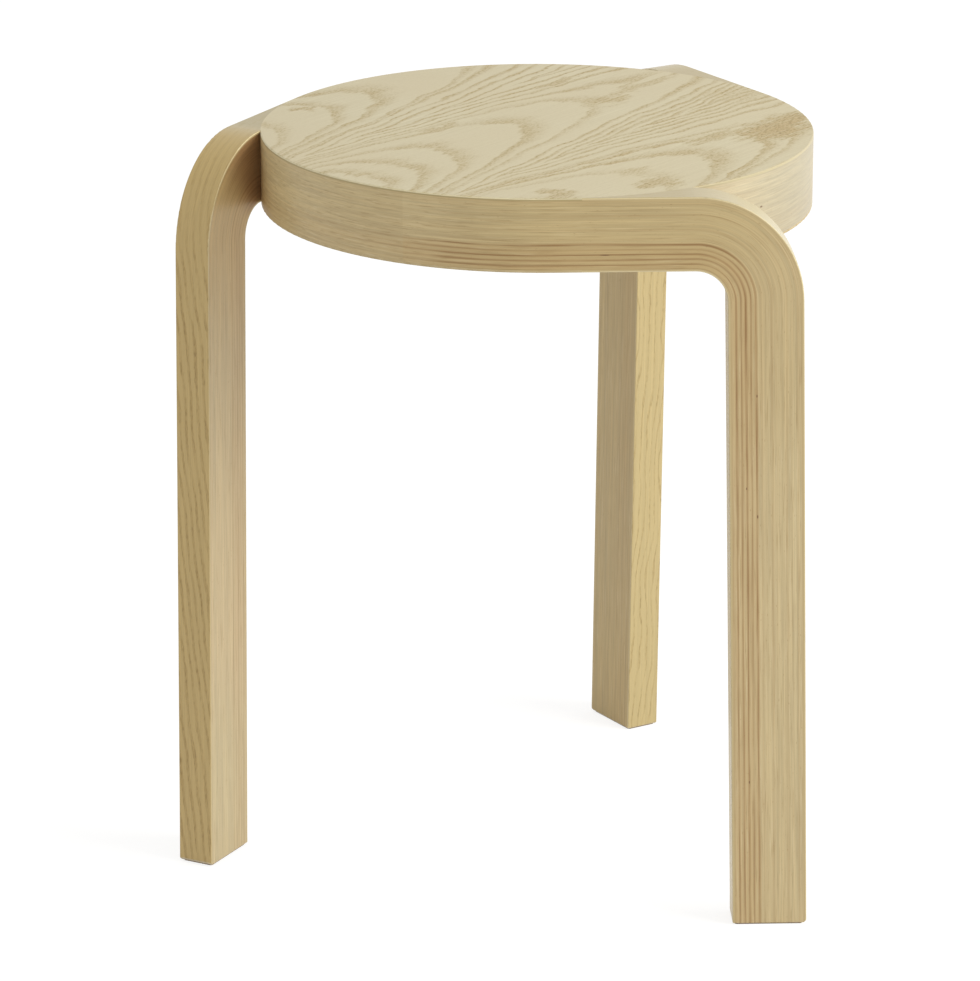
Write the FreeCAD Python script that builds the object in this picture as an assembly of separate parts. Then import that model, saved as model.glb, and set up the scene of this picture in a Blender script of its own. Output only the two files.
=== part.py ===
import FreeCAD, Part
import math
import os

os.makedirs("parts", exist_ok=True)
V = FreeCAD.Vector

# Driving sizes in mm. Z is up, the floor is Z = 0 and the seat axis is the Z axis.
seat_height = 440.0
seat_radius = 162.5
face_ply = 1.5
core_ply = 2.87
core_plies = 14
leg_width = 22.2
leg_lean = 1.2
inner_bend = 18.6
bend_gap = 0.1
edge_round = 0.6
face_tip = 18.0

# Foot ends and their soles
glide_thick = 0.7
glide_inset = 0.6
glide_corner = 1.5
foot_cut_in = 1.8
foot_cut_up = 1.9
inner_cut = 0.6
foot_side_cut = 0.7

# Dowels between each arm and the seat core
dowel_radius = 4.0
dowel_spread = 42.0
dowel_in_arm = 11.0
dowel_in_core = 26.0
dowel_end_room = 0.6
dowel_end_cut = 0.8

leg_names = ["right", "back", "left"]

# Derived sizes
thick = 2 * face_ply + core_ply * core_plies
lean = math.radians(leg_lean)
outer_bend = inner_bend + thick
chord = seat_radius - leg_width
notch = math.sqrt(seat_radius ** 2 - chord ** 2)
notch_angle = math.degrees(math.acos(chord / seat_radius))
bend_u = notch + bend_gap
bend_z = seat_height - outer_bend
far = 4.0 * seat_height


def turned(shape, index):
    out = shape.copy()
    out.rotate(V(0, 0, 0), V(0, 0, 1), 120.0 * index)
    return out


def rim_point(angle, radius, z):
    # Angle 0 is the point where the arm leaves the rim, positive towards the leg.
    a = math.radians(angle)
    return V(radius * math.sin(a), -radius * math.cos(a), z)


def rim_arc(angle_a, angle_b, radius, z):
    mid = 0.5 * (angle_a + angle_b)
    return Part.Arc(rim_point(angle_a, radius, z), rim_point(mid, radius, z), rim_point(angle_b, radius, z)).toShape()


def bend_point(depth, angle):
    r = outer_bend - depth
    return (bend_u + r * math.cos(angle), bend_z + r * math.sin(angle))


def foot_point(depth, z_end):
    u, z = bend_point(depth, lean)
    return (u + (z - z_end) * math.tan(lean), z_end)


def at_side(pair, side):
    return V(pair[0], -side, pair[1])


# One laminated band of a leg, between two depths below its outer face, from u_start along
# the arm, round the bend and down to the foot end.
def band(depth_a, depth_b, u_start, z_end):
    side = seat_radius
    mid = 0.5 * (lean + math.pi / 2)
    top_a = (u_start, seat_height - depth_a)
    top_b = (u_start, seat_height - depth_b)
    bend_a = bend_point(depth_a, math.pi / 2)
    bend_b = bend_point(depth_b, math.pi / 2)
    leg_a = bend_point(depth_a, lean)
    leg_b = bend_point(depth_b, lean)
    foot_a = foot_point(depth_a, z_end)
    foot_b = foot_point(depth_b, z_end)
    edges = []
    edges.append(Part.makeLine(at_side(top_a, side), at_side(bend_a, side)))
    edges.append(Part.Arc(at_side(bend_a, side), at_side(bend_point(depth_a, mid), side), at_side(leg_a, side)).toShape())
    edges.append(Part.makeLine(at_side(leg_a, side), at_side(foot_a, side)))
    edges.append(Part.makeLine(at_side(foot_a, side), at_side(foot_b, side)))
    edges.append(Part.makeLine(at_side(foot_b, side), at_side(leg_b, side)))
    edges.append(Part.Arc(at_side(leg_b, side), at_side(bend_point(depth_b, mid), side), at_side(bend_b, side)).toShape())
    edges.append(Part.makeLine(at_side(bend_b, side), at_side(top_b, side)))
    edges.append(Part.makeLine(at_side(top_b, side), at_side(top_a, side)))
    return Part.Face(Part.Wire(edges)).extrude(V(0, leg_width, 0))


# The long edges of a leg along one of its two sides
def long_edges(shape, side):
    found = []
    for edge in shape.Edges:
        ends = [v.Point for v in edge.Vertexes]
        if len(ends) != 2:
            continue
        on_side = all(abs(p.y + side) < 1e-6 for p in ends)
        across = all(abs(p.x) < 1e-6 for p in ends) or all(abs(p.z - glide_thick) < 1e-6 for p in ends)
        if on_side and not across:
            found.append(edge)
    return found


# Waste of the rounded long edges: on the outer side from the tangent point onwards, on the
# inner side only outside the seat circle.
whole_leg = band(0.0, thick, 0.0, glide_thick)
seat_cylinder = Part.makeCylinder(seat_radius, far, V(0, 0, 0))
outer_side_waste = whole_leg.cut(whole_leg.makeFillet(edge_round, long_edges(whole_leg, seat_radius)))
inner_side_waste = whole_leg.cut(whole_leg.makeFillet(edge_round, long_edges(whole_leg, chord)))
inner_side_waste = inner_side_waste.cut(seat_cylinder)


# Waste of the rounded rim, from one leg's notch to the next leg's tangent point. The sign
# is +1 for the top edge and -1 for the bottom edge.
def rim_waste(z, sign):
    r = edge_round
    corner = rim_point(0, seat_radius, z)
    inner = rim_point(0, seat_radius - r, z)
    lower = rim_point(0, seat_radius, z - sign * r)
    centre = rim_point(0, seat_radius - r, z - sign * r)
    out_dir = V(0, -1, 0)
    mid = centre + (out_dir + V(0, 0, sign)) * (r / math.sqrt(2.0))
    edges = [
        Part.makeLine(inner, corner),
        Part.makeLine(corner, lower),
        Part.Arc(lower, mid, inner).toShape(),
    ]
    face = Part.Face(Part.Wire(edges))
    sweep = 120.0 - notch_angle + 1.5
    waste = face.revolve(V(0, 0, 0), V(0, 0, 1), -sweep)
    arm = Part.makeBox(2 * far, leg_width + edge_round, thick + 2 * edge_round)
    arm.translate(V(-far, -seat_radius - edge_round, seat_height - thick - edge_round))
    return waste.cut(turned(arm, -1))


top_rim_waste = rim_waste(seat_height, 1)
bottom_rim_waste = rim_waste(seat_height - thick, -1)


# Sloping cuts on the foot ends
def foot_wedge(toe_u, toe_z, rise_u, rise_z, out_u):
    reach = 3.0
    du = rise_u - toe_u
    dz = rise_z - toe_z
    low = V(toe_u - reach * du, -seat_radius - 5, toe_z - reach * dz)
    high = V(rise_u + reach * du, -seat_radius - 5, rise_z + reach * dz)
    away = V(out_u, -seat_radius - 5, toe_z - reach * dz)
    wire = Part.makePolygon([low, high, away, low])
    return Part.Face(wire).extrude(V(0, leg_width + 10, 0))


def side_wedge(side, direction):
    toe = V(0, -side + direction * foot_side_cut, glide_thick)
    rise = V(0, -side, glide_thick + foot_side_cut)
    step = rise - toe
    low = toe - step * 3
    high = rise + step * 3
    away = V(0, high.y, low.z)
    wire = Part.makePolygon([low, high, away, low])
    return Part.Face(wire).extrude(V(far, 0, 0))


outer_foot = foot_point(0.0, glide_thick)[0]
inner_foot = foot_point(thick, glide_thick)[0]
foot_waste = [
    foot_wedge(outer_foot - foot_cut_in, glide_thick, outer_foot, glide_thick + foot_cut_up, outer_foot + 9.0),
    foot_wedge(inner_foot + inner_cut, glide_thick, inner_foot, glide_thick + inner_cut, inner_foot - 9.0),
    side_wedge(seat_radius, 1),
    side_wedge(chord, -1),
]


def trimmed(shape, wastes):
    out = shape
    for waste in wastes:
        out = out.cut(waste)
    return out


# Plan outline of the seat's face plies: the seat circle, plus a short tip along each
# tangent, so that no leg ply ends in a feather edge.
tip_angle = math.degrees(math.asin(face_tip / seat_radius))


def seat_face(z_low):
    edges = []
    for index in range(3):
        third = []
        third.append(rim_arc(notch_angle - 120.0, 0.0, seat_radius, z_low))
        tip = V(face_tip, -seat_radius, z_low)
        third.append(Part.makeLine(rim_point(0, seat_radius, z_low), tip))
        third.append(Part.makeLine(tip, rim_point(tip_angle, seat_radius, z_low)))
        third.append(rim_arc(tip_angle, notch_angle, seat_radius, z_low))
        for edge in third:
            edges.append(turned(edge, index))
    wire = Part.Wire(Part.__sortEdges__(edges))
    return Part.Face(wire).extrude(V(0, 0, face_ply))


def face_with_round_edges(z_low, rim):
    out = seat_face(z_low)
    for index in range(3):
        out = out.cut(turned(rim, index))
        out = out.cut(turned(outer_side_waste, index))
    return out


seat_top_face = face_with_round_edges(seat_height - face_ply, top_rim_waste)
seat_bottom_face = face_with_round_edges(seat_height - thick, bottom_rim_waste)

# Blind dowel holes, level with the middle of the laminate
dowel_z = seat_height - thick / 2
hole_start = chord - dowel_in_core - dowel_end_room
hole_length = dowel_in_core + dowel_in_arm + 2 * dowel_end_room
dowel_length = dowel_in_core + dowel_in_arm
dowel_places = [-dowel_spread, 0.0, dowel_spread]


def dowel_hole(u):
    return Part.makeCylinder(dowel_radius, hole_length, V(u, -hole_start, dowel_z), V(0, -1, 0))


def dowel(u):
    body = Part.makeCylinder(dowel_radius, dowel_length, V(u, -hole_start - dowel_end_room, dowel_z), V(0, -1, 0))
    return body.makeChamfer(dowel_end_cut, [e for e in body.Edges if isinstance(e.Curve, Part.Circle)])


# Seat core: a disc with one flat for each arm
core_low = seat_height - thick + face_ply
core_high = seat_height - face_ply
seat_core = Part.makeCylinder(seat_radius, core_high - core_low, V(0, 0, core_low))
for index in range(3):
    arm_room = Part.makeBox(4 * seat_radius, leg_width + 10, thick)
    arm_room.translate(V(-2 * seat_radius, -seat_radius - 10, seat_height - thick))
    seat_core = seat_core.cut(turned(arm_room, index))
    for u in dowel_places:
        seat_core = seat_core.cut(turned(dowel_hole(u), index))

# Leg core: the bent band, and the part of its arm that is rounded with the rim
band_core = band(face_ply, thick - face_ply, 0.0, glide_thick)
arm_wire = Part.Wire([
    rim_arc(-notch_angle, 0.0, seat_radius, core_low),
    Part.makeLine(rim_point(0, seat_radius, core_low), V(0, -chord, core_low)),
    Part.makeLine(V(0, -chord, core_low), rim_point(-notch_angle, seat_radius, core_low)),
])
arm_back = Part.Face(arm_wire).extrude(V(0, 0, core_high - core_low))
leg_core = band_core.fuse(arm_back).removeSplitter()
for u in dowel_places:
    leg_core = leg_core.cut(dowel_hole(u))
leg_core = trimmed(leg_core, foot_waste)

# Face plies of a leg: they start at the seam with the seat's own face plies
tip_block = Part.makeBox(face_tip + 5, leg_width + 2, far)
tip_block.translate(V(-5, -seat_radius - 1, 0))
face_wastes = [seat_cylinder, tip_block, outer_side_waste, inner_side_waste] + foot_waste
leg_outer_face = trimmed(band(0.0, face_ply, 0.0, glide_thick), face_wastes)
leg_inner_face = trimmed(band(thick - face_ply, thick, 0.0, glide_thick), face_wastes)

# Sole under each foot, as wide as the flat that the sloping cuts leave
glide_u_low = inner_foot + inner_cut + glide_inset
glide_u_high = outer_foot - foot_cut_in - glide_inset
glide_v_low = chord + foot_side_cut + glide_inset
glide_v_high = seat_radius - foot_side_cut - glide_inset
glide = Part.makeBox(glide_u_high - glide_u_low, glide_v_high - glide_v_low, glide_thick, V(glide_u_low, -glide_v_high, 0))
glide = glide.makeFillet(glide_corner, [e for e in glide.Edges if abs(e.tangentAt(e.FirstParameter).z) > 0.9])


def only_solid(shape):
    solids = shape.Solids
    if len(solids) != 1:
        raise ValueError("a piece that should be one solid has %d" % len(solids))
    return solids[0]


pieces = {
    "seat_core": only_solid(seat_core),
    "seat_top_face": only_solid(seat_top_face),
    "seat_bottom_face": only_solid(seat_bottom_face),
}
for index, name in enumerate(leg_names):
    pieces[name + "_leg_core"] = turned(only_solid(leg_core), index)
    pieces[name + "_leg_outer_face"] = turned(only_solid(leg_outer_face), index)
    pieces[name + "_leg_inner_face"] = turned(only_solid(leg_inner_face), index)
    pieces[name + "_leg_dowels"] = turned(Part.makeCompound([dowel(u) for u in dowel_places]), index)
    pieces[name + "_foot_glide"] = turned(glide, index)

for node in pieces:
    shape = pieces[node]
    shape.exportStep("parts/" + node + ".step")
    print(node, len(shape.Solids), round(shape.Volume, 1), shape.isValid())
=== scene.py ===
import math

import bpy
from mathutils import Matrix, Vector

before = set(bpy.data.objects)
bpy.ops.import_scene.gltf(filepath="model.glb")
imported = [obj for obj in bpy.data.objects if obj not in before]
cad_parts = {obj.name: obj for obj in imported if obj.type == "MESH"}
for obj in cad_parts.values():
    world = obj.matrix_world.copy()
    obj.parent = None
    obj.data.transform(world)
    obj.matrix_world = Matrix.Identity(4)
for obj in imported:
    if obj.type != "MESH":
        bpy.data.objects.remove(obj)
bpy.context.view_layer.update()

# Sizes of the stool, in metres
SEAT_HEIGHT = 0.440
SEAT_RADIUS = 0.1625
FACE_PLY = 0.0015
CORE_PLY = 0.00287
CORE_PLIES = 14
THICK = 2 * FACE_PLY + CORE_PLIES * CORE_PLY
LEG_WIDTH = 0.0222
LEG_LEAN = math.radians(1.2)
LEG_TURN = math.radians(120)
INNER_BEND = 0.0186
BEND_GAP = 0.0001
OUTER_BEND = INNER_BEND + THICK
MID_BEND = INNER_BEND + THICK / 2
NOTCH = math.sqrt(SEAT_RADIUS ** 2 - (SEAT_RADIUS - LEG_WIDTH) ** 2)
BEND_START = NOTCH + BEND_GAP
BEND_HEIGHT = SEAT_HEIGHT - OUTER_BEND
LEGS = ["right", "back", "left"]


def linear(red, green, blue):
    """A colour written as it looks on a screen, 0 to 255, as scene values."""
    out = []
    for value in (red, green, blue):
        part = value / 255
        out.append(part / 12.92 if part <= 0.04045 else ((part + 0.055) / 1.055) ** 2.4)
    return (*out, 1.0)


def shaded(colour, factor):
    """The same colour, lighter or deeper."""
    return tuple(min(1.0, part * factor) for part in colour[:3]) + (1.0,)


class Recipe:
    """One node tree, built line by line. A value is a number, a colour or another node's output."""

    def __init__(self, tree):
        self.tree = tree

    def fill(self, socket, value):
        """Links an output to a socket, or writes a plain value there."""
        if isinstance(value, bpy.types.NodeSocket):
            self.tree.links.new(value, socket)
        else:
            socket.default_value = value

    def add(self, kind, inputs=(), output=0, **settings):
        made = self.tree.nodes.new(kind)
        for name, value in settings.items():
            setattr(made, name, value)
        pairs = inputs.items() if isinstance(inputs, dict) else enumerate(inputs)
        for key, value in pairs:
            self.fill(made.inputs[key], value)
        return made.outputs[output]

    def use(self, group, inputs):
        """Puts a node group in and gives its outputs."""
        made = self.tree.nodes.new("ShaderNodeGroup")
        made.node_tree = group
        for name, value in inputs.items():
            self.fill(made.inputs[name], value)
        return made.outputs

    def math(self, operation, *inputs, clamp=False):
        return self.add("ShaderNodeMath", inputs, operation=operation, use_clamp=clamp)

    def plus(self, first, second):
        return self.math("ADD", first, second)

    def minus(self, first, second):
        return self.math("SUBTRACT", first, second)

    def times(self, first, second, clamp=False):
        return self.math("MULTIPLY", first, second, clamp=clamp)

    def over(self, first, second):
        return self.math("DIVIDE", first, second)

    def vector(self, operation, *inputs, output="Vector"):
        return self.add("ShaderNodeVectorMath", inputs, output, operation=operation)

    def join(self, x=0.0, y=0.0, z=0.0):
        return self.add("ShaderNodeCombineXYZ", (x, y, z))

    def split(self, vector):
        """The x, the y and the z of a vector."""
        made = self.tree.nodes.new("ShaderNodeSeparateXYZ")
        self.tree.links.new(vector, made.inputs[0])
        return made.outputs

    def object_point(self):
        """The shaded point on Object coordinates, which are the frame's own for every piece."""
        return self.add("ShaderNodeTexCoord", output="Object")

    def noise(self, vector, scale=1.0, detail=2.0):
        return self.add("ShaderNodeTexNoise", {"Vector": vector, "Scale": scale, "Detail": detail})

    def spread(self, value, low, high, new_low=0.0, new_high=1.0, kind="LINEAR"):
        """Moves the range low..high to new_low..new_high and stops at its ends."""
        ends = {"From Min": low, "From Max": high, "To Min": new_low, "To Max": new_high}
        return self.add("ShaderNodeMapRange", {"Value": value, **ends}, interpolation_type=kind)

    def piecewise(self, value, knots):
        """Straight pieces through the knots."""
        total = knots[0][1]
        for (x0, y0), (x1, y1) in zip(knots, knots[1:]):
            total = self.plus(self.spread(value, x0, x1, 0.0, y1 - y0), total)
        return total

    def hump(self, value, middle, rise, fall):
        """1 at the middle, smoothly down to 0 a rise before it and a fall after it."""
        before = self.spread(value, middle - rise, middle, kind="SMOOTHSTEP")
        after = self.spread(value, middle, middle + fall, 1.0, 0.0, kind="SMOOTHSTEP")
        return self.times(before, after)

    def mix(self, factor, first, second, blend="MIX"):
        """Two colours mixed: the Mix node's sockets 6 and 7, and its output 2, are the colours."""
        inputs = {0: factor, 6: first, 7: second}
        return self.add("ShaderNodeMix", inputs, 2, data_type="RGBA", blend_type=blend)

    def ramp(self, value, stops, interpolation="LINEAR"):
        """Grey levels at places from 0 to 1."""
        made = self.tree.nodes.new("ShaderNodeValToRGB")
        made.color_ramp.interpolation = interpolation
        elements = made.color_ramp.elements
        while len(elements) < len(stops):
            elements.new(0.5)
        for element, (place, level) in zip(elements, stops):
            element.position = place
        for element, (place, level) in zip(elements, stops):
            element.color = (level, level, level, 1.0)
        self.tree.links.new(value, made.inputs[0])
        return made.outputs[0]

    def relief(self, height, depth):
        inputs = {"Strength": 0.5, "Distance": depth, "Height": height}
        return self.add("ShaderNodeBump", inputs)


def new_group(name, inputs, outputs):
    """An empty node group: its recipe, what it is given and what it results in."""
    group = bpy.data.node_groups.new(name, "ShaderNodeTree")
    for way, sockets in (("INPUT", inputs), ("OUTPUT", outputs)):
        for socket, kind in sockets.items():
            group.interface.new_socket(socket, in_out=way, socket_type="NodeSocket" + kind)
    given = group.nodes.new("NodeGroupInput").outputs
    result = group.nodes.new("NodeGroupOutput").inputs
    return Recipe(group), given, result


def new_finish(name):
    finish = bpy.data.materials.new(name)
    finish.use_nodes = True
    shader = finish.node_tree.nodes["Principled BSDF"]
    return finish, Recipe(finish.node_tree), shader.inputs


def repaint(node, finish):
    """Gives a CAD node a new finish in its own material slot."""
    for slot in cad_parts[node].material_slots:
        slot.material = finish


# Where a point lies in a leg's bent laminate
def laminate_places():
    """Node group: from a point and the leg's turn to how far along the leg it is, how far across
    its width from the outer side, and how deep below its outer face. Along is 0 at the bend's
    start, less on the arm and more on the upright."""
    r, given, result = new_group(
        "laminate places", {"Point": "Vector", "Turn": "Float"},
        {"Along": "Float", "Across": "Float", "Depth": "Float"})
    back = r.times(given["Turn"], -1.0)
    turning = {"Vector": given["Point"], "Angle": back}
    x, y, z = r.split(r.add("ShaderNodeVectorRotate", turning, rotation_type="Z_AXIS"))
    out = r.minus(x, BEND_START)
    up = r.minus(z, BEND_HEIGHT)
    angle = r.math("MAXIMUM", r.math("ARCTAN2", up, out), LEG_LEAN)
    angle = r.math("MINIMUM", angle, math.pi / 2)
    sine = r.math("SINE", angle)
    cosine = r.math("COSINE", angle)
    reach = r.plus(r.times(out, cosine), r.times(up, sine))
    straight = r.minus(r.times(out, sine), r.times(up, cosine))
    bent = r.times(r.minus(math.pi / 2, angle), MID_BEND)
    r.fill(result["Along"], r.plus(straight, bent))
    r.fill(result["Across"], r.plus(y, SEAT_RADIUS))
    r.fill(result["Depth"], r.minus(OUTER_BEND, reach))
    return r.tree


PLACES = laminate_places()


def leg_places(r, leg):
    """How far along and across a leg's laminate the shaded point is, and how deep in it."""
    turn = LEG_TURN * LEGS.index(leg)
    return r.use(PLACES, {"Point": r.object_point(), "Turn": turn})


# The rim of a face ply, by depth below its face: the arris, coloured as a painted highlight, and
# the cut edge under it
ARRIS_DEPTH = (0.0001, 0.0003)
CUT_EDGE_DEPTH = (0.0006, 0.0008)


def rim_of_ply(r, colour, below, arris_highlight, cut_edge):
    # Painted highlight on the arris, then the cut edge's colour under it
    colour = r.mix(r.spread(below, *ARRIS_DEPTH), colour, arris_highlight)
    return r.mix(r.spread(below, *CUT_EDGE_DEPTH), colour, cut_edge)


# Open pores are a little sunk in the lacquer
PORE_RELIEF = 0.00006

# Ash veneer on the seat: nested arches with bundles of straight grain between them.
# A line of the figure climbs by HEIGHT * e**(GROWTH * up) * ((off**2 + CORE)**POWER - FOOT),
# where off is 0 on the axis of its row of arches and 1 in the bundle beside it.
GRAIN_TURN = math.radians(50)
ARCH_HEIGHT = 0.200
ARCH_POWER = 3.75
ARCH_CORE = 0.491
ARCH_FOOT = ARCH_CORE ** ARCH_POWER
ARCH_GROWTH = 5.9
ARCH_LEAN = 0.042
# Places across the grain, in metres, and off there
ARCH_ROWS = [(-0.1954, 1.0), (-0.1335, 0.0), (-0.0716, 1.0), (-0.0170, 0.0),
             (0.0492, 1.0), (0.1152, 0.0), (0.1812, 1.0)]
LEFT_ROW_END = ARCH_ROWS[2][0]
MIDDLE_ROW_AXIS = ARCH_ROWS[3][0]
RIGHT_ROW_START = ARCH_ROWS[4][0]
# The arches of each row: place of the tip, half the band's thickness there, and how dark it is
ARCHES = {
    "left": [(-0.092, 0.006, 0.7), (-0.036, 0.006, 0.9), (0.010, 0.011, 1.0), (0.100, 0.006, 0.8)],
    "middle": [(-0.146, 0.007, 0.9), (-0.115, 0.008, 0.9), (-0.073, 0.009, 0.8),
               (0.002, 0.010, 0.9), (0.070, 0.009, 0.7)],
    "right": [(-0.120, 0.006, 0.4), (-0.045, 0.007, 0.5), (0.010, 0.010, 1.1),
              (0.062, 0.009, 1.1), (0.100, 0.006, 0.8)],
}
# A band is darkest just before its tip line and fades out slowly after it, in half thicknesses,
# and measured up the grain it gets thicker where its arch is steep
BAND_SHAPE = {"middle": -0.4, "rise": 0.7, "fall": 2.9}
BAND_SHARPNESS = 1.7
ROW_HALF = 0.062
STEEP_REACH = 0.0012
BAND_GROWTH = 2 * ARCH_POWER / ROW_HALF * STEEP_REACH
# The lines of the left and the right bundle: place and strength. Each is sharp on the side of
# lower places and fades out more slowly towards higher ones. They start well above LOWEST_LEVEL,
# which keeps the root in their place real.
LOWEST_LEVEL = 0.05
BUNDLE_LOW = 0.55
BUNDLE_HIGH = 1.25
LEFT_BUNDLE = [(0.655, 1.0), (0.770, 1.1), (0.870, 1.2), (0.985, 1.3), (1.110, 1.0)]
RIGHT_BUNDLE = [(0.745, 1.0), (0.835, 1.0), (0.915, 1.1), (0.985, 1.0),
                (1.055, 1.2), (1.125, 1.1), (1.195, 0.9)]
LINE_SHAPE = [(-0.018, 0.0), (0.0, 1.15), (0.038, 0.0)]
# Blotches of open pores: place up and beside the grain, half their size, and how dark they are
BLOTCHES = [
    (0.084, 0.112, 0.032, 0.021, 1.6), (0.112, 0.104, 0.022, 0.013, 1.5),
    (0.043, 0.094, 0.024, 0.006, 0.9), (-0.048, 0.105, 0.014, 0.008, 0.7),
    (-0.058, 0.131, 0.015, 0.013, 1.2), (-0.113, 0.103, 0.010, 0.014, 1.0),
    (0.078, -0.010, 0.018, 0.012, 1.1), (0.125, -0.014, 0.040, 0.005, 0.9),
    (-0.037, -0.046, 0.022, 0.005, 1.0), (-0.048, -0.138, 0.007, 0.010, 1.3),
    (0.092, -0.035, 0.012, 0.004, 0.7), (0.098, -0.058, 0.022, 0.003, 1.0),
    (0.140, 0.044, 0.022, 0.020, 0.5),
]
# In half sizes from its middle: where a blotch starts to fade and where it is gone
BLOTCH_FADE = (0.45, 1.20)


def ash_figure():
    """Node group: how dark the seat's ash is at a point, where its pores are, and its tone."""
    r, given, result = new_group(
        "ash figure", {"Point": "Vector"}, {"Band": "Float", "Pores": "Float", "Tone": "Float"})
    grain = (math.cos(GRAIN_TURN), math.sin(GRAIN_TURN), 0)
    cross_grain = (math.sin(GRAIN_TURN), -math.cos(GRAIN_TURN), 0)
    up = r.vector("DOT_PRODUCT", given["Point"], grain, output="Value")
    side = r.vector("DOT_PRODUCT", given["Point"], cross_grain, output="Value")

    def clouds(per_up, per_side, seed, detail=2.0):
        """Noise with so many clouds in a metre up and beside the grain."""
        return r.noise(r.join(r.times(up, per_up), r.times(side, per_side), seed), detail=detail)

    def wander(per_up, per_side, seed, amount, detail=2.0):
        """The same noise, as a shift by up to half the amount either way."""
        return r.times(r.minus(clouds(per_up, per_side, seed, detail), 0.5), amount)

    # The wavering lines of equal growth, and the dark bands along them
    bent = r.plus(r.plus(side, r.times(up, ARCH_LEAN)), wander(16, 22, 3.1, 0.012))
    bent = r.plus(bent, wander(34, 48, 21.7, 0.007))
    bent = r.plus(bent, wander(75, 260, 7.7, 0.0024))
    off = r.piecewise(bent, ARCH_ROWS)
    square = r.plus(r.times(off, off), ARCH_CORE)
    growth = r.times(r.math("EXPONENT", r.times(up, ARCH_GROWTH)), ARCH_HEIGHT)
    rise = r.times(growth, r.minus(r.math("POWER", square, ARCH_POWER), ARCH_FOOT))
    level = r.plus(r.plus(up, rise), wander(18, 26, 11.3, 0.018))
    level = r.plus(level, wander(45, 75, 14.9, 0.014))
    steep = r.times(r.times(growth, off), r.math("POWER", square, ARCH_POWER - 1))
    thicker = r.times(steep, BAND_GROWTH)
    ragged = r.plus(level, wander(42, 420, 5.5, 0.018, detail=3.0))
    rows = {}
    for row, arches in ARCHES.items():
        darkest = 0.0
        for tip, half, dark in arches:
            place = r.over(r.minus(ragged, tip), r.plus(thicker, half))
            band = r.math("POWER", r.hump(place, **BAND_SHAPE), BAND_SHARPNESS)
            darkest = r.math("MAXIMUM", r.times(band, dark), darkest)
        rows[row] = darkest
    is_left = r.math("LESS_THAN", bent, LEFT_ROW_END)
    is_right = r.math("GREATER_THAN", bent, RIGHT_ROW_START)
    is_middle = r.minus(r.minus(1.0, is_left), is_right)
    arch = r.plus(r.times(rows["right"], is_right), r.times(rows["left"], is_left))
    arch = r.plus(r.times(rows["middle"], is_middle), arch)

    # The bundles of straight lines that spring from between the rows
    spring = r.plus(r.over(r.math("MAXIMUM", level, LOWEST_LEVEL), ARCH_HEIGHT), ARCH_FOOT)
    spring = r.minus(r.math("POWER", spring, 1 / ARCH_POWER), ARCH_CORE)
    place = r.spread(r.math("SQRT", spring), BUNDLE_LOW, BUNDLE_HIGH)
    bundles = []
    for lines in (LEFT_BUNDLE, RIGHT_BUNDLE):
        stops = []
        for middle, strength in lines:
            for shift, dark in LINE_SHAPE:
                at = (middle + shift - BUNDLE_LOW) / (BUNDLE_HIGH - BUNDLE_LOW)
                stops.append((at, dark * strength))
        bundles.append(r.ramp(place, stops))
    on_right = r.math("GREATER_THAN", bent, MIDDLE_ROW_AXIS)
    bundle = r.add("ShaderNodeMix", {0: on_right, 2: bundles[0], 3: bundles[1]})
    band = r.math("MAXIMUM", arch, bundle)
    band = r.times(band, r.spread(clouds(45, 150, 2.2, 3.0), 0.30, 0.62, 0.50, 1.15))

    # The blotches, with frayed outlines and streaks inside
    drift_up = r.plus(up, wander(40, 90, 26.1, 0.030))
    drift_side = r.plus(side, wander(45, 70, 29.3, 0.020))
    here = r.join(drift_up, drift_side)
    streaky = r.spread(clouds(14, 520, 33.0, 3.0), 0.34, 0.60, 0.45, 1.1)
    fray = r.plus(wander(60, 380, 37.0, 1.3, 3.0), wander(90, 130, 39.0, 1.0))
    blotch = 0.0
    for place_up, place_side, half_up, half_side, dark in BLOTCHES:
        away = r.vector("SUBTRACT", here, (place_up, place_side, 0))
        away = r.vector("MULTIPLY", away, (1 / half_up, 1 / half_side, 0))
        away = r.plus(r.vector("LENGTH", away, output="Value"), fray)
        blotch = r.math("MAXIMUM", r.spread(away, *BLOTCH_FADE, dark, 0.0, "SMOOTHSTEP"), blotch)
    band = r.math("MAXIMUM", band, r.times(blotch, streaky))

    r.fill(result["Band"], band)
    r.fill(result["Pores"], r.spread(clouds(330, 1250, 9.0, 1.0), 0.50, 0.64, kind="SMOOTHSTEP"))
    r.fill(result["Tone"], clouds(12, 900, 4.0, 3.0))
    return r.tree


# The colours of the seat
SEAT_DEEP = linear(195, 182, 142)
SEAT_LIGHT = linear(208, 197, 160)
SEAT_CLOUD = linear(200, 186, 146)
SEAT_BAND = linear(180, 160, 107)
SEAT_DARK_BAND = linear(180, 151, 90)
SEAT_PORE = linear(138, 117, 71)
# The arris and the cut edge at the left and at the right of the seat, and where on X one tone
# gives way to the other. The arris is a painted highlight, brighter on the left. The cut edge is
# the ply's own edge colour with painted light on it: deeper on the left as a painted shade line,
# paler on the right as painted light.
SEAT_ARRIS_HIGHLIGHT = (linear(214, 203, 164), linear(202, 189, 150))
SEAT_CUT_EDGE_LIT_AND_SHADED = (linear(178, 158, 110), linear(200, 188, 149))
RIGHTWARD = (0.03, 0.085)


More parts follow.
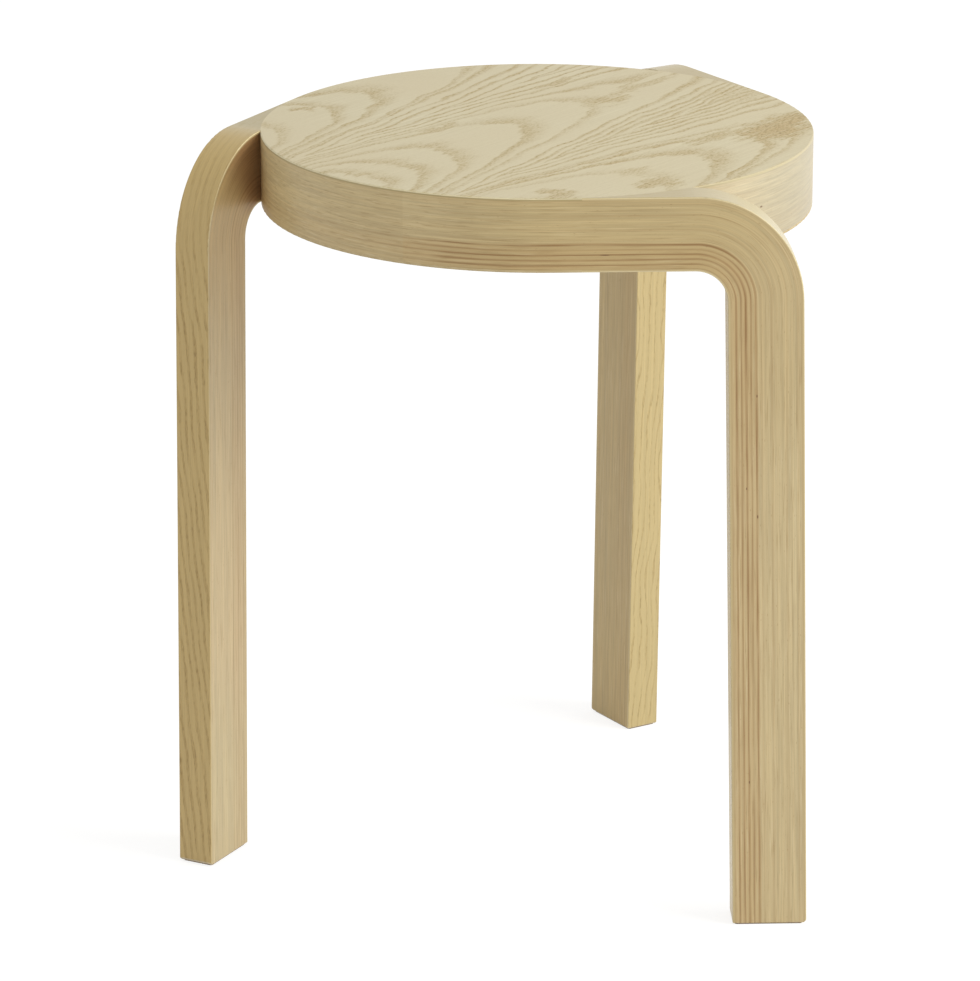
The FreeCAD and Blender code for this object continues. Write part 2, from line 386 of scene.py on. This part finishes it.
def seat_ash():
    finish, r, shader = new_finish("lacquered ash of the seat")
    point = r.object_point()
    band, pores, tone = r.use(ash_figure(), {"Point": point})
    plain = r.mix(r.spread(tone, 0.3, 0.7), SEAT_DEEP, SEAT_LIGHT)
    plain = r.mix(r.spread(r.noise(point, scale=9.0), 0.35, 0.65), plain, SEAT_CLOUD)
    colour = r.mix(r.times(band, 0.78, clamp=True), plain, SEAT_BAND)
    colour = r.mix(r.spread(band, 0.95, 1.7, 0.0, 0.55), colour, SEAT_DARK_BAND)
    pitted = r.times(pores, r.plus(r.times(band, 0.44), 0.05), clamp=True)
    colour = r.mix(pitted, colour, SEAT_PORE)
    x, y, z = r.split(point)
    rightward = r.spread(x, *RIGHTWARD)
    # Painted highlight on the seat's arris, and painted shade and light on its cut edge
    colour = rim_of_ply(r, colour, r.minus(SEAT_HEIGHT, z),
                        r.mix(rightward, *SEAT_ARRIS_HIGHLIGHT), r.mix(rightward, *SEAT_CUT_EDGE_LIT_AND_SHADED))
    r.fill(shader["Base Color"], colour)
    r.fill(shader["Roughness"], r.spread(pitted, 0.0, 0.4, 0.40, 0.6))
    r.fill(shader["Normal"], r.relief(r.minus(1.0, pitted), PORE_RELIEF))
    return finish


# Birch lay-up of the legs and the seat's rim, seen from the side.
# Glue lines counted from the inner face: how strongly each shows, and which are the strong ones
GLUE_LINES = [0.5, 0.85, 0.80, 1.0, 0.70, 1.0, 0.30, 0.10, 0.35, 0.15, 0.10, 0.35, 0.20, 0.25, 0.30]
STRONG_LINES = range(1, 6)
# How far from its middle a glue line starts to fade and is gone, and the halo beside it
GLUE_HALF = (0.00010, 0.00066)
HALO_HALF = (0.0003, 0.0012)
# The fibres' noise has so many clouds in a metre along the leg and across it, and is shifted so
# far from leg to leg
FIBRES_ALONG = 7
FIBRES_ACROSS = 25
FIBRES_SHIFT = 3.7
# The dark specks, in the same way, along the leg and through its thickness
SPECKS_ALONG = 330
SPECKS_THROUGH = 1900
# Painted shade on the leg's side that faces the notch beside the rim: places across and along the
# leg
NOTCH_SHADE_ACROSS = (LEG_WIDTH - 0.003, LEG_WIDTH - 0.001)
NOTCH_SHADE_ALONG = (-0.02, -0.01)
GLUE = linear(146, 108, 60)
GLUE_HALO = linear(184, 146, 96)
STROKE = linear(158, 128, 80)
GLINT = linear(226, 208, 166)
SPECK = linear(150, 112, 64)
MARK = linear(112, 78, 46)
# In half sizes from its middle: where a mark starts to fade and where it is gone, and how much of
# the wood it covers
MARK_FADE = (0.6, 1.1)
MARK_COVER = 0.85
FIBRE_CONTRAST = 0.12
LAY_UP_RELIEF = 0.00005


def lay_up(name, strong, faint, pale, warm, leg=None, contrast=1.0, onset=None, tones=(), marks=()):
    """The side of the laminate. strong and faint say how much its two kinds of glue line show, and
    onset how much of that is left at places along the leg, or along X on the seat. Each tone is a
    start, an end, the factors of red, green and blue that hold past the end, and the side it stays
    on. Each mark is a place along, a height above the inner face, half a length and half a height.
    """
    finish, r, shader = new_finish(name)
    if leg:
        along, across, depth = leg_places(r, leg)
        onward = along
        shift = LEGS.index(leg) * FIBRES_SHIFT
        speckled = along
        stroked = 1.0
        # Painted shade mask: the leg's side that faces the notch, near the seat
        notch_shade = r.times(r.spread(across, *NOTCH_SHADE_ACROSS), r.spread(along, *NOTCH_SHADE_ALONG))
        sides = {"all": 1.0, "notch_shade": notch_shade}
    else:
        along, y, z = r.split(r.object_point())
        depth = r.minus(SEAT_HEIGHT, z)
        across = r.plus(y, SEAT_RADIUS)
        onward = r.minus(along, BEND_START)
        shift = 0.0
        speckled = r.plus(along, across)
        stroked = r.spread(along, 0.07, 0.10, 1.0, 0.35)
        sides = {"all": 1.0, "front": r.spread(across, 0.12, 0.20, 1.0, 0.0)}
    above = r.minus(THICK, depth)
    run = r.join(r.times(onward, FIBRES_ALONG), r.times(across, FIBRES_ACROSS), shift)

    def streaks(per_depth, seed, detail=2.0, pace=1.0):
        """Noise drawn out along the plies, with so many streaks in a metre of depth."""
        paced = r.vector("MULTIPLY", run, (pace, pace, pace))
        moved = r.vector("ADD", paced, r.join(0.0, seed, r.times(above, per_depth)))
        return r.noise(moved, detail=detail)

    # Which ply it is, and how far the nearest glue line is
    waver = r.times(r.minus(streaks(90, 31.0), 0.5), 0.0014)
    ply = r.over(r.minus(r.plus(above, waver), FACE_PLY), CORE_PLY)
    nearest = r.math("ROUND", ply)
    gap = r.times(r.math("ABSOLUTE", r.minus(ply, nearest)), CORE_PLY)
    gap = r.over(gap, r.spread(streaks(260, 57.0, pace=2.0), 0.35, 0.65, 0.70, 1.8))
    shows = []
    for number, level in enumerate(GLUE_LINES):
        share = strong if number in STRONG_LINES else faint
        shows.append((number / len(GLUE_LINES), level * share))
    weight = r.ramp(r.over(r.plus(nearest, 0.5), len(GLUE_LINES)), shows, "CONSTANT")
    if onset:
        weight = r.times(weight, r.piecewise(along, onset))
    line = r.times(r.spread(gap, *GLUE_HALF, 1.0, 0.0, "SMOOTHSTEP"), weight)
    line = r.times(line, r.spread(streaks(420, 17.0, pace=3.0), 0.35, 0.62, 0.30, 1.05))
    halo = r.times(r.spread(gap, *HALO_HALF, 1.0, 0.0), weight)
    halo = r.times(halo, r.spread(streaks(900, 41.0), 0.35, 0.6))

    # The wood between the lines
    light = shaded(linear(*pale), 1.0 + FIBRE_CONTRAST * contrast)
    deep = shaded(linear(*pale), 1.0 - FIBRE_CONTRAST * contrast)
    fine = streaks(1500, 3.0, pace=2.0)
    broad = streaks(480, 9.0, 3.0)
    fibres = r.plus(r.times(fine, 0.5), r.times(broad, 0.5))
    own_tone = r.add(
        "ShaderNodeTexWhiteNoise", {"W": r.math("FLOOR", ply)}, "Value", noise_dimensions="1D")
    innermost = r.spread(ply, 4.9, 5.5, 1.0, 0.0)
    strokes = r.times(r.spread(streaks(1250, 61.0, 3.0, pace=6.0), 0.56, 0.68), stroked)
    glints = r.times(r.spread(streaks(1050, 71.0, 2.0, pace=5.0), 0.58, 0.70), stroked)
    speckling = r.join(r.times(speckled, SPECKS_ALONG), r.times(above, SPECKS_THROUGH), 6.0)
    specks = r.spread(r.noise(speckling, detail=1.0), 0.70, 0.78)
    colour = r.mix(r.spread(fibres, 0.40, 0.60), deep, light)
    coats = [
        (r.times(own_tone, 0.20 * contrast), linear(*warm)),
        (r.times(innermost, 0.45 * strong), shaded(linear(*warm), 0.95)),
        (r.times(strokes, 0.40 * contrast), STROKE),
        (r.times(glints, 0.40 * contrast), GLINT),
        (r.times(halo, 0.45), GLUE_HALO),
        (r.times(line, 0.80, clamp=True), GLUE),
        (r.times(specks, 0.55), SPECK),
    ]
    for cover, coat in coats:
        colour = r.mix(cover, colour, coat)
    for start, end, factors, side in tones:
        toned = r.mix(1.0, colour, (*factors, 1.0), "MULTIPLY")
        reached = r.times(r.spread(along, start, end, kind="SMOOTHSTEP"), sides[side])
        colour = r.mix(reached, colour, toned)
    for place, height, half_length, half_height in marks:
        aside = r.over(r.minus(along, place), half_length)
        higher = r.over(r.minus(above, height), half_height)
        away = r.vector("LENGTH", r.join(aside, higher), output="Value")
        colour = r.mix(r.spread(away, *MARK_FADE, MARK_COVER, 0.0), colour, MARK)
    r.fill(shader["Base Color"], colour)
    r.fill(shader["Roughness"], r.spread(fibres, 0.3, 0.7, 0.34, 0.46))
    sunk = r.minus(fibres, r.times(line, 0.6))
    r.fill(shader["Normal"], r.relief(sunk, LAY_UP_RELIEF))
    return finish


# Ash on the legs, which has the seat's pale tone near the seat. The pale bend tone is also a
# painted highlight on the right leg's bend, and the arris colours are a painted highlight,
# brighter on the arm.
PALE_ARM = linear(180, 163, 116)
PALE_BEND_AND_HIGHLIGHT = linear(206, 194, 158)
PALE_PORE = linear(160, 138, 92)
ARM_ARRIS_HIGHLIGHT = linear(224, 208, 162)
LEG_ARRIS_HIGHLIGHT = linear(208, 190, 143)
LEG_CUT_EDGE = linear(196, 174, 126)


def leg_ash(leg, pale, dark, slant, spacing, inner=False, seed=0.0, thin=0.0, sway=0.0025,
            reach=(0.0, 0.034), tint=None):
    """A leg's outer or inner veneer: slanting lines of pores along the leg, a spacing apart. thin
    is 0 for bands as wide as the gaps between them and 1 for hair lines; sway is how far they
    wander. An outer veneer gives up the seat's pale tone between the two places of reach. tint is
    a start, an end and the factors of red, green and blue that hold past the end."""
    side = "inner" if inner else "outer"
    finish, r, shader = new_finish(f"ash of the {leg} leg, {side} side")
    along, across, depth = leg_places(r, leg)

    def clouds(per_along, per_across, shift, detail=2.0):
        """Noise with so many clouds in a metre along and across the leg."""
        place = r.join(r.times(along, per_along), r.times(across, per_across), seed + shift)
        return r.noise(place, detail=detail)

    phase = r.minus(across, r.times(along, slant))
    phase = r.plus(phase, r.times(r.minus(clouds(14, 30, 1.0), 0.5), 4 * sway))
    phase = r.plus(phase, r.times(r.minus(clouds(90, 420, 3.0), 0.5), 0.0016))
    wave = r.math("SINE", r.times(phase, 2 * math.pi / spacing))
    band = r.spread(wave, -0.1 + 0.75 * thin, 0.8 + 0.18 * thin, kind="SMOOTHSTEP")
    band = r.times(band, r.spread(clouds(28, 260, 5.0), 0.34, 0.62, 0.25, 1.0))
    band = r.times(band, r.spread(along, 0.02, 0.10, 0.3, 1.0))
    pores = r.spread(clouds(240, 1900, 8.0, 1.0), 0.48, 0.62, kind="SMOOTHSTEP")
    pitted = r.times(pores, r.plus(r.times(band, 0.50), 0.05))
    tone = r.spread(clouds(6, 900, 2.0, 3.0), 0.35, 0.65)
    colour = r.mix(tone, shaded(linear(*pale), 0.95), shaded(linear(*pale), 1.05))
    colour = r.mix(r.times(band, 0.55), colour, linear(*dark))
    colour = r.mix(pitted, colour, shaded(linear(*dark), 0.62))
    if not inner:
        # The seat's pale tone, paler at the bend; on the right leg it is also a painted highlight
        # there
        by_the_seat = r.mix(r.spread(along, -0.010, 0.030), PALE_ARM, PALE_BEND_AND_HIGHLIGHT)
        by_the_seat = r.mix(r.times(pitted, 0.5), by_the_seat, PALE_PORE)
        colour = r.mix(r.spread(along, *reach, kind="SMOOTHSTEP"), by_the_seat, colour)
    if tint:
        start, end, factors = tint
        tinted = r.mix(1.0, colour, (*factors, 1.0), "MULTIPLY")
        colour = r.mix(r.spread(along, start, end, kind="SMOOTHSTEP"), colour, tinted)
    below = r.minus(THICK, depth) if inner else depth
    # Painted highlight along the arris, brighter on the arm and fading down the leg
    arris_highlight = r.mix(r.spread(along, 0.02, 0.09), ARM_ARRIS_HIGHLIGHT, LEG_ARRIS_HIGHLIGHT)
    colour = rim_of_ply(r, colour, below, arris_highlight, LEG_CUT_EDGE)
    r.fill(shader["Base Color"], colour)
    r.fill(shader["Roughness"], r.spread(pitted, 0.0, 0.4, 0.30, 0.52))
    r.fill(shader["Normal"], r.relief(r.minus(1.0, pitted), PORE_RELIEF))
    return finish


def plain_finish(name, colour, deeper, scale, roughness=0.55):
    """Backing veneer, dowels and soles: one tone with fine flecks."""
    finish, r, shader = new_finish(name)
    stretched = r.add("ShaderNodeMapping", {"Vector": r.object_point(), "Scale": scale})
    fleck = r.noise(stretched, detail=3.0)
    tone = r.mix(r.spread(fleck, 0.35, 0.65), linear(*deeper), linear(*colour))
    r.fill(shader["Base Color"], tone)
    r.fill(shader["Roughness"], roughness)
    r.fill(shader["Normal"], r.relief(fleck, LAY_UP_RELIEF))
    return finish


repaint("seat_top_face", seat_ash())
repaint("seat_core", lay_up(
    "birch lay-up of the seat", 0.40, 0.40, (204, 183, 135), (202, 173, 122), contrast=0.9,
    onset=[(-0.12, 0.6), (-0.02, 1.5), (0.08, 1.0), (0.13, 0.20)],
    # Painted light: the front rim is lighter and paler around the right notch; further right it is
    # darker again
    tones=[(0.070, 0.090, (1.10, 1.22, 1.56), "front"),
           (0.095, 0.150, (0.74, 0.75, 0.76), "front")],
    marks=[(0.1236, 0.0222, 0.0009, 0.0006)]))
repaint("right_leg_core", lay_up(
    "birch lay-up of the right leg", 1.0, 0.7, (207, 188, 143), (203, 174, 122), "right",
    onset=[(-0.164, 0.45), (-0.140, 0.95), (-0.100, 1.0)],
    tones=[(0.060, 0.005, (0.95, 0.94, 0.88), "all"), (-0.105, -0.164, (1.13, 1.15, 1.23), "all"),
           (0.18, 0.10, (0.94, 0.92, 0.88), "all")],
    marks=[(-0.0511, 0.0101, 0.0033, 0.0004), (0.118, 0.0160, 0.0010, 0.0004),
           (0.190, 0.0160, 0.0012, 0.0005), (0.173, 0.0098, 0.0009, 0.0004),
           (0.352, 0.0103, 0.0010, 0.0004)]))
repaint("back_leg_core", lay_up(
    "birch lay-up of the back leg", 0.25, 0.2, (194, 172, 123), (194, 165, 113), "back", 0.8,
    tones=[(0.30, 0.45, (0.94, 0.92, 0.85), "all"), (-0.10, -0.164, (1.03, 1.12, 1.37), "all")]))
repaint("left_leg_core", lay_up(
    "birch lay-up of the left leg", 0.42, 0.15, (205, 185, 143), (206, 176, 132), "left", 0.8,
    tones=[(0.14, 0.04, (0.92, 0.84, 0.69), "all"), (0.30, 0.38, (0.94, 0.97, 0.96), "all"),
           (-0.09, -0.160, (1.09, 1.18, 1.34), "all"),
           # Painted shade: the left leg's side by the notch is darker near the seat, standing in
           # for the seat's shade
           (0.040, 0.012, (0.66, 0.53, 0.50), "notch_shade")]))

# The right leg's reach holds the pale tone through its bend as a painted highlight
repaint("right_leg_outer_face", leg_ash(
    "right", (206, 182, 130), (182, 152, 98), 0.12, 0.0046, seed=1.3, reach=(0.049, 0.085)))
repaint("back_leg_outer_face", leg_ash(
    "back", (206, 182, 130), (182, 152, 98), 0.10, 0.0046, seed=4.1))
repaint("left_leg_outer_face", leg_ash(
    "left", (201, 174, 115), (171, 140, 81), 0.125, 0.0047, seed=7.9,
    reach=(-0.012, 0.012), tint=(0.050, 0.010, (0.88, 0.88, 0.82))))
repaint("right_leg_inner_face", leg_ash(
    "right", (206, 186, 136), (186, 160, 106), 0.05, 0.0044, True, 2.6, 0.8))
repaint("back_leg_inner_face", leg_ash(
    "back", (203, 183, 131), (184, 158, 103), 0.06, 0.0044, True, 5.2, 0.88, 0.005))
repaint("left_leg_inner_face", leg_ash(
    "left", (206, 186, 136), (186, 160, 106), 0.06, 0.0044, True, 9.4, 0.8))

repaint("seat_bottom_face", plain_finish(
    "birch backing veneer", (206, 186, 142), (190, 168, 122), (30, 420, 30)))
dowel_wood = plain_finish("beech dowel", (204, 172, 124), (180, 146, 98), (300, 300, 60))
sole_plastic = plain_finish("brown sole", (128, 96, 60), (104, 76, 46), (900, 900, 900), 0.6)
for leg in LEGS:
    repaint(f"{leg}_leg_dowels", dowel_wood)
    repaint(f"{leg}_foot_glide", sole_plastic)


# Camera, world, floor and lamp. The camera is the one fitted to the photograph.
CAMERA_PLACE = Vector((-0.139711, -3.055332, 1.207027))
CAMERA_YAW = 0.036686
CAMERA_DIP = 0.313399
FOCAL_PIXELS = 5350.378
LONG_SIDE_PIXELS = 981
SENSOR = 36
# How bright the light from all around is, where 1 is white
WORLD_LIGHT = 0.66
FLOOR_HALF = 30
# The floor throws light back as pale grey. Where it is seen, most of its white is a glow.
FLOOR_GREY = (0.8, 0.8, 0.8, 1)
FLOOR_SEEN_GREY = (0.3, 0.3, 0.3, 1)
FLOOR_GLOW = 0.8
LAMP_AIM_HEIGHT = 0.25


def add_camera():
    camera = bpy.data.objects.new("camera", bpy.data.cameras.new("camera"))
    camera.data.lens = FOCAL_PIXELS / LONG_SIDE_PIXELS * SENSOR
    camera.data.sensor_width = SENSOR
    camera.data.clip_end = 100
    right = Vector((math.cos(CAMERA_YAW), -math.sin(CAMERA_YAW), 0))
    level = math.cos(CAMERA_DIP)
    ahead = Vector((
        math.sin(CAMERA_YAW) * level, math.cos(CAMERA_YAW) * level, -math.sin(CAMERA_DIP)))
    turn = Matrix((right, right.cross(ahead), -ahead)).transposed()
    camera.matrix_world = Matrix.Translation(CAMERA_PLACE) @ turn.to_4x4()
    bpy.context.collection.objects.link(camera)
    bpy.context.scene.camera = camera


def add_lamp(name, azimuth, elevation, distance, width, height, power, colour):
    """A soft box that points at the middle of the stool. Azimuth 0 is +X, 90 is +Y."""
    lamp = bpy.data.lights.new(name, "AREA")
    lamp.shape = "RECTANGLE"
    lamp.size = width
    lamp.size_y = height
    lamp.energy = power
    lamp.color = colour
    holder = bpy.data.objects.new(name, lamp)
    a, e = math.radians(azimuth), math.radians(elevation)
    away = Vector((math.cos(a) * math.cos(e), math.sin(a) * math.cos(e), math.sin(e)))
    holder.location = Vector((0, 0, LAMP_AIM_HEIGHT)) + away * distance
    holder.rotation_euler = away.to_track_quat("Z", "Y").to_euler()
    bpy.context.collection.objects.link(holder)


def seen_directly(r):
    """1 for what the camera, a gloss or a glass sees, 0 for the light that falls on things."""
    path = r.tree.nodes.new("ShaderNodeLightPath").outputs
    rays = r.math("MAXIMUM", path["Is Camera Ray"], path["Is Glossy Ray"])
    return r.math("MAXIMUM", rays, path["Is Transmission Ray"])


def add_world():
    """White where it is seen directly, and soft light from all around."""
    world = bpy.data.worlds.new("studio")
    bpy.context.scene.world = world
    world.use_nodes = True
    r = Recipe(world.node_tree)
    back = world.node_tree.nodes["Background"].inputs
    r.fill(back["Color"], (1, 1, 1, 1))
    r.fill(back["Strength"], r.plus(r.times(seen_directly(r), 1.0 - WORLD_LIGHT), WORLD_LIGHT))


def add_floor():
    """A pale floor that is seen nearly white and still takes the stool's shadow."""
    mesh = bpy.data.meshes.new("floor")
    corners = [(FLOOR_HALF * x, FLOOR_HALF * y, 0) for x, y in ((-1, -1), (1, -1), (1, 1), (-1, 1))]
    mesh.from_pydata(corners, [], [(0, 1, 2, 3)])
    floor = bpy.data.objects.new("floor", mesh)
    bpy.context.collection.objects.link(floor)
    finish = bpy.data.materials.new("pale floor")
    finish.use_nodes = True
    nodes = finish.node_tree.nodes
    r = Recipe(finish.node_tree)
    nodes.remove(nodes["Principled BSDF"])
    bare = r.add("ShaderNodeBsdfDiffuse", {"Color": FLOOR_GREY})
    seen_bare = r.add("ShaderNodeBsdfDiffuse", {"Color": FLOOR_SEEN_GREY})
    glow = r.add("ShaderNodeEmission", {"Color": (1, 1, 1, 1), "Strength": FLOOR_GLOW})
    lit = r.add("ShaderNodeAddShader", (seen_bare, glow))
    both = r.add("ShaderNodeMixShader", (seen_directly(r), bare, lit))
    r.fill(nodes["Material Output"].inputs["Surface"], both)
    floor.data.materials.append(finish)


add_camera()
add_world()
add_floor()
add_lamp("key soft box", azimuth=-20, elevation=34, distance=2.6, width=1.6, height=1.4,
         power=44, colour=(1.0, 0.985, 0.96))
bpy.context.scene.view_settings.view_transform = "Standard"
